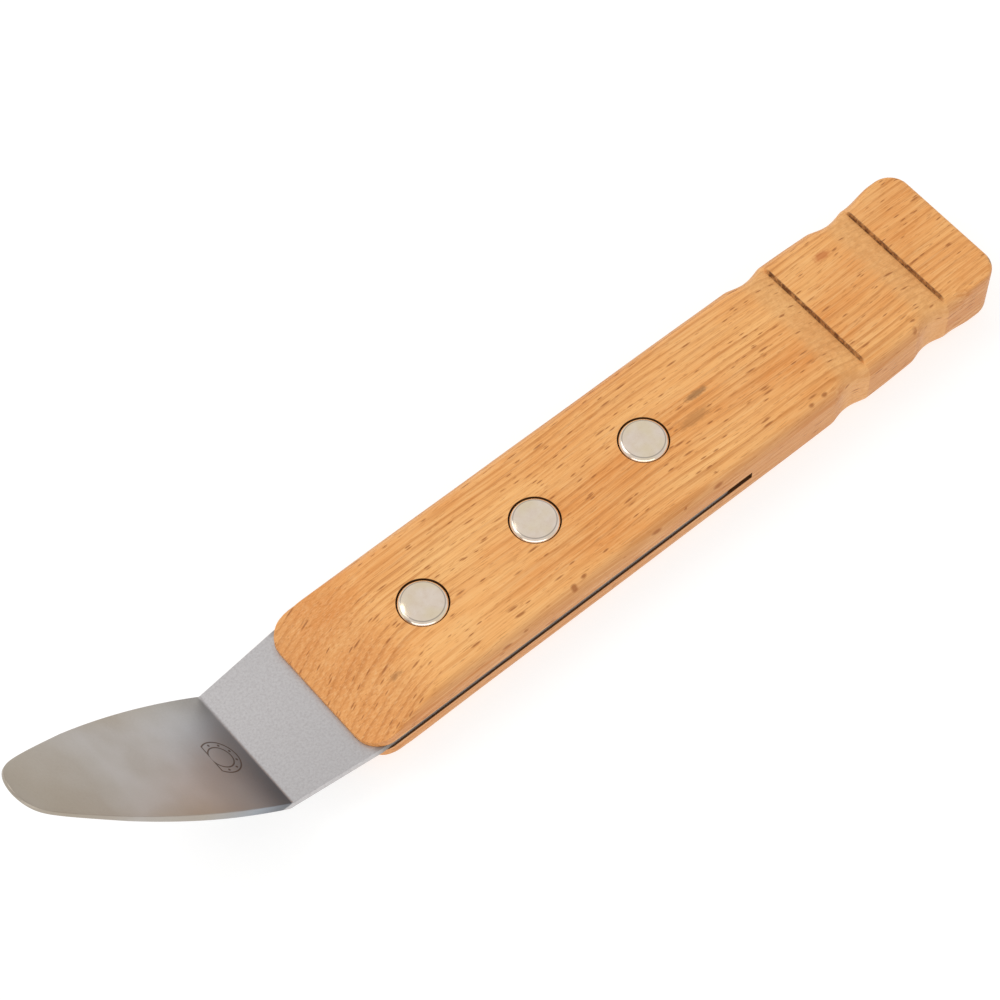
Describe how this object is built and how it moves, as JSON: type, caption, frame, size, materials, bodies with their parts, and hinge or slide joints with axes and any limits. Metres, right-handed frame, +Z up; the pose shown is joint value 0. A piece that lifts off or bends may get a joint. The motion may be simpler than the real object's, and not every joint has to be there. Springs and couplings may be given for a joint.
{
  "type": "hoof pick",
  "caption": "Hoof pick with a bent tongue-shaped steel blade riveted into a flat wooden handle with thumb grooves near its butt.",
  "frame": {"origin": "bottom centre of the bounding box, in the plane of the handle's flat underside", "axes": "+X along the handle towards its butt, +Y across the handle, +Z up out of its top face, the side to which the blade is bent"},
  "size_m": [0.205, 0.03, 0.0487],
  "materials": {
    "beech": "sanded and oiled",
    "steel": "satin",
    "rivet_metal": "polished"
  },
  "bodies": {
    "root": {"handle": "beech", "blade": "steel", "rivet_tube_front": "rivet_metal", "rivet_post_front": "rivet_metal", "rivet_tube_middle": "rivet_metal", "rivet_post_middle": "rivet_metal", "rivet_tube_rear": "rivet_metal", "rivet_post_rear": "rivet_metal"}
  },
  "joints": []
}
